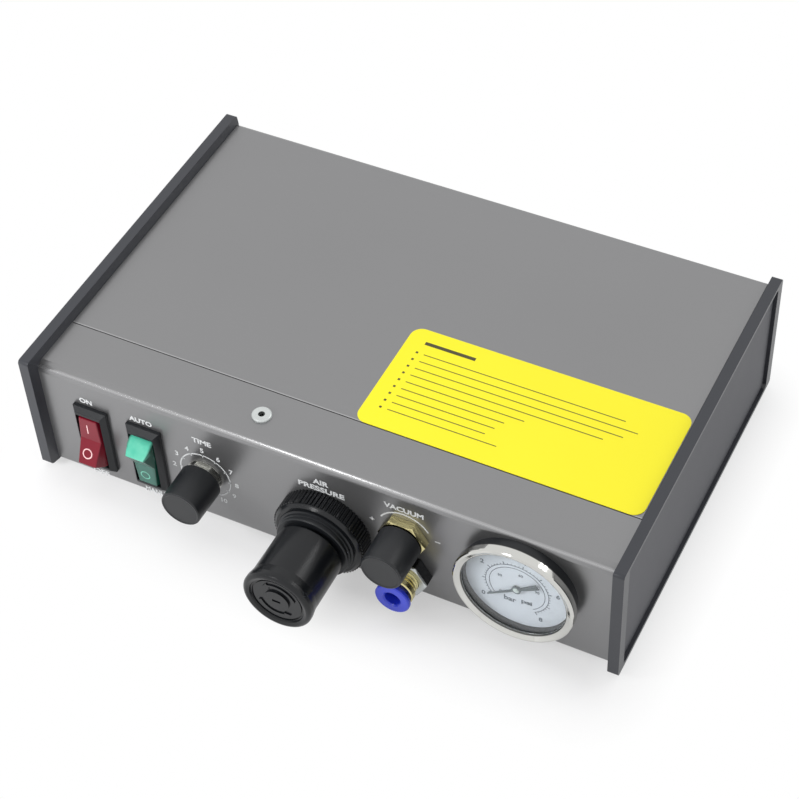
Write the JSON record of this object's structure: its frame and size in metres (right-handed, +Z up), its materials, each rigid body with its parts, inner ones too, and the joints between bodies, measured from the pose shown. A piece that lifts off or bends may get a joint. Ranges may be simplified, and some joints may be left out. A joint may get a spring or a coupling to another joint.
{
  "type": "glue dispenser",
  "caption": "Low bench box that times air pulses for glue, with rocker switches, time and vacuum knobs, a push-pull regulator, round gauge and push-in outlet.",
  "frame": {"origin": "middle of the whole footprint, knobs and rear fittings included, at the underside of the rubber feet", "axes": "+X along the front panel to the right as seen from the front, +Y from the front panel to the rear, +Z up"},
  "size_m": [0.235, 0.2022, 0.057],
  "materials": {
    "sheet": "satin grey metal finish on folded steel sheet",
    "frame": "satin charcoal moulded plastic",
    "side": "matte charcoal panel",
    "screw": "bright nickel plating",
    "rubber": "soft black rubber",
    "rivet": "dull aluminium",
    "sticker": "yellow vinyl",
    "black": "glossy black plastic",
    "black_matte": "matte black plastic",
    "red": "dark red plastic",
    "green": "translucent green plastic",
    "brass": "machined brass",
    "nickel": "nickel plating",
    "zinc": "die-cast zinc and anodised aluminium",
    "spring": "spring steel wire",
    "diaphragm": "reinforced rubber",
    "blue": "blue plastic",
    "chrome": "polished chrome",
    "lens": "clear lens",
    "dial": "pale printed dial",
    "tube": "blue polyurethane tube",
    "bronze": "porous sintered bronze",
    "board": "green circuit board",
    "parts": "moulded electronic parts",
    "core": "varnished steel laminations",
    "winding": "yellow tape over copper winding",
    "fuse_glass": "glass fuse with metal caps",
    "needle": "black painted needle"
  },
  "bodies": {
    "case": {"chassis": "sheet", "rear_panel": "sheet", "top_cover": "sheet", "left_end_frame": "frame", "right_end_frame": "frame", "left_side_panel": "side", "right_side_panel": "side", "case_screws": "screw", "rubber_feet": "rubber", "cover_rivet": "rivet", "label_plate": "sticker", "power_switch_body": "black", "mode_switch_body": "black", "time_pot_body": "zinc", "time_pot_nut": "nickel", "regulator_body": "zinc", "regulator_bonnet": "black_matte", "regulator_nut": "black", "regulator_diaphragm": "diaphragm", "regulator_spring": "spring", "vacuum_valve_body": "brass", "vacuum_valve_nut": "brass", "outlet_fitting": "brass", "outlet_nut": "black", "outlet_washer": "nickel", "gauge_case": "black_matte", "gauge_bezel": "chrome", "gauge_lens": "lens", "gauge_dial": "dial", "gauge_movement": "brass", "gauge_bracket": "nickel", "solenoid_valve": "zinc", "solenoid_coil": "black_matte", "solenoid_spring": "spring", "vacuum_ejector": "zinc", "air_tubes": "tube", "exhaust_silencer": "bronze", "inlet_fitting": "nickel", "control_board": "board", "board_parts": "parts", "board_standoffs": "brass", "transformer_core": "core", "transformer_coil": "winding", "mains_inlet": "black_matte", "foot_switch_socket": "nickel"},
    "power_rocker": {"power_rocker": "red"},
    "mode_rocker": {"mode_rocker": "green"},
    "time_control": {"time_shaft": "nickel", "time_knob": "black"},
    "regulator_spindle": {"regulator_spindle": "nickel"},
    "regulator_carrier": {"regulator_carrier": "brass"},
    "regulator_knob": {"regulator_knob": "black"},
    "vacuum_needle": {"vacuum_needle": "nickel"},
    "vacuum_knob": {"vacuum_knob": "black"},
    "outlet_collet": {"outlet_collet": "blue"},
    "inlet_collet": {"inlet_collet": "blue"},
    "gauge_needle": {"gauge_needle": "needle"},
    "solenoid_plunger": {"solenoid_plunger": "nickel"},
    "fuse_drawer": {"fuse_drawer": "black_matte", "fuse": "fuse_glass"}
  },
  "joints": [
    {"name": "power_rocker_tilt", "type": "hinge", "parent": "case", "child": "power_rocker", "pos_m": [-0.0918, -0.061, 0.0243], "axis": [1, 0, 0], "range_deg": [0, 31]},
    {"name": "mode_rocker_tilt", "type": "hinge", "parent": "case", "child": "mode_rocker", "pos_m": [-0.0693, -0.061, 0.0243], "axis": [1, 0, 0], "range_deg": [-31, 0]},
    {"name": "time_turn", "type": "hinge", "parent": "case", "child": "time_control", "pos_m": [-0.0453, -0.0636, 0.0251], "axis": [0, 1, 0], "range_deg": [-150, 150]},
    {"name": "regulator_turn", "type": "hinge", "parent": "case", "child": "regulator_spindle", "pos_m": [0.0039, -0.0636, 0.0213], "axis": [0, 1, 0], "range_deg": [-1800, 0]},
    {"name": "regulator_carrier_travel", "type": "slide", "parent": "case", "child": "regulator_carrier", "axis": [0, 1, 0], "range_m": [-0.005, 0]},
    {"name": "regulator_pull", "type": "slide", "parent": "regulator_spindle", "child": "regulator_knob", "axis": [0, -1, 0], "range_m": [0, 0.003]},
    {"name": "vacuum_needle_travel", "type": "slide", "parent": "case", "child": "vacuum_needle", "axis": [0, 1, 0], "range_m": [-0.003, 0]},
    {"name": "vacuum_turn", "type": "hinge", "parent": "vacuum_needle", "child": "vacuum_knob", "pos_m": [0.0354, -0.0636, 0.0327], "axis": [0, 1, 0], "range_deg": [-1440, 0]},
    {"name": "outlet_release", "type": "slide", "parent": "case", "child": "outlet_collet", "axis": [0, 1, 0], "range_m": [0, 0.0015]},
    {"name": "inlet_release", "type": "slide", "parent": "case", "child": "inlet_collet", "axis": [0, -1, 0], "range_m": [0, 0.0015]},
    {"name": "gauge_needle_turn", "type": "hinge", "parent": "case", "child": "gauge_needle", "pos_m": [0.0792, -0.0636, 0.0296], "axis": [0, 1, 0], "range_deg": [0, 270]},
    {"name": "solenoid_plunger_lift", "type": "slide", "parent": "case", "child": "solenoid_plunger", "axis": [0, 0, 1], "range_m": [0, 0.002], "stiffness_N_per_m": 300, "springref_m": -0.002, "deforming": ["solenoid_spring"]},
    {"name": "fuse_drawer_slide", "type": "slide", "parent": "case", "child": "fuse_drawer", "axis": [0, 1, 0], "range_m": [0, 0.015]}
  ],
  "couplings": [
    {"joint": "regulator_carrier_travel", "follows": "regulator_turn", "m_per_rad": 0.00015915},
    {"joint": "vacuum_needle_travel", "follows": "vacuum_turn", "m_per_rad": 0.00011936}
  ]
}
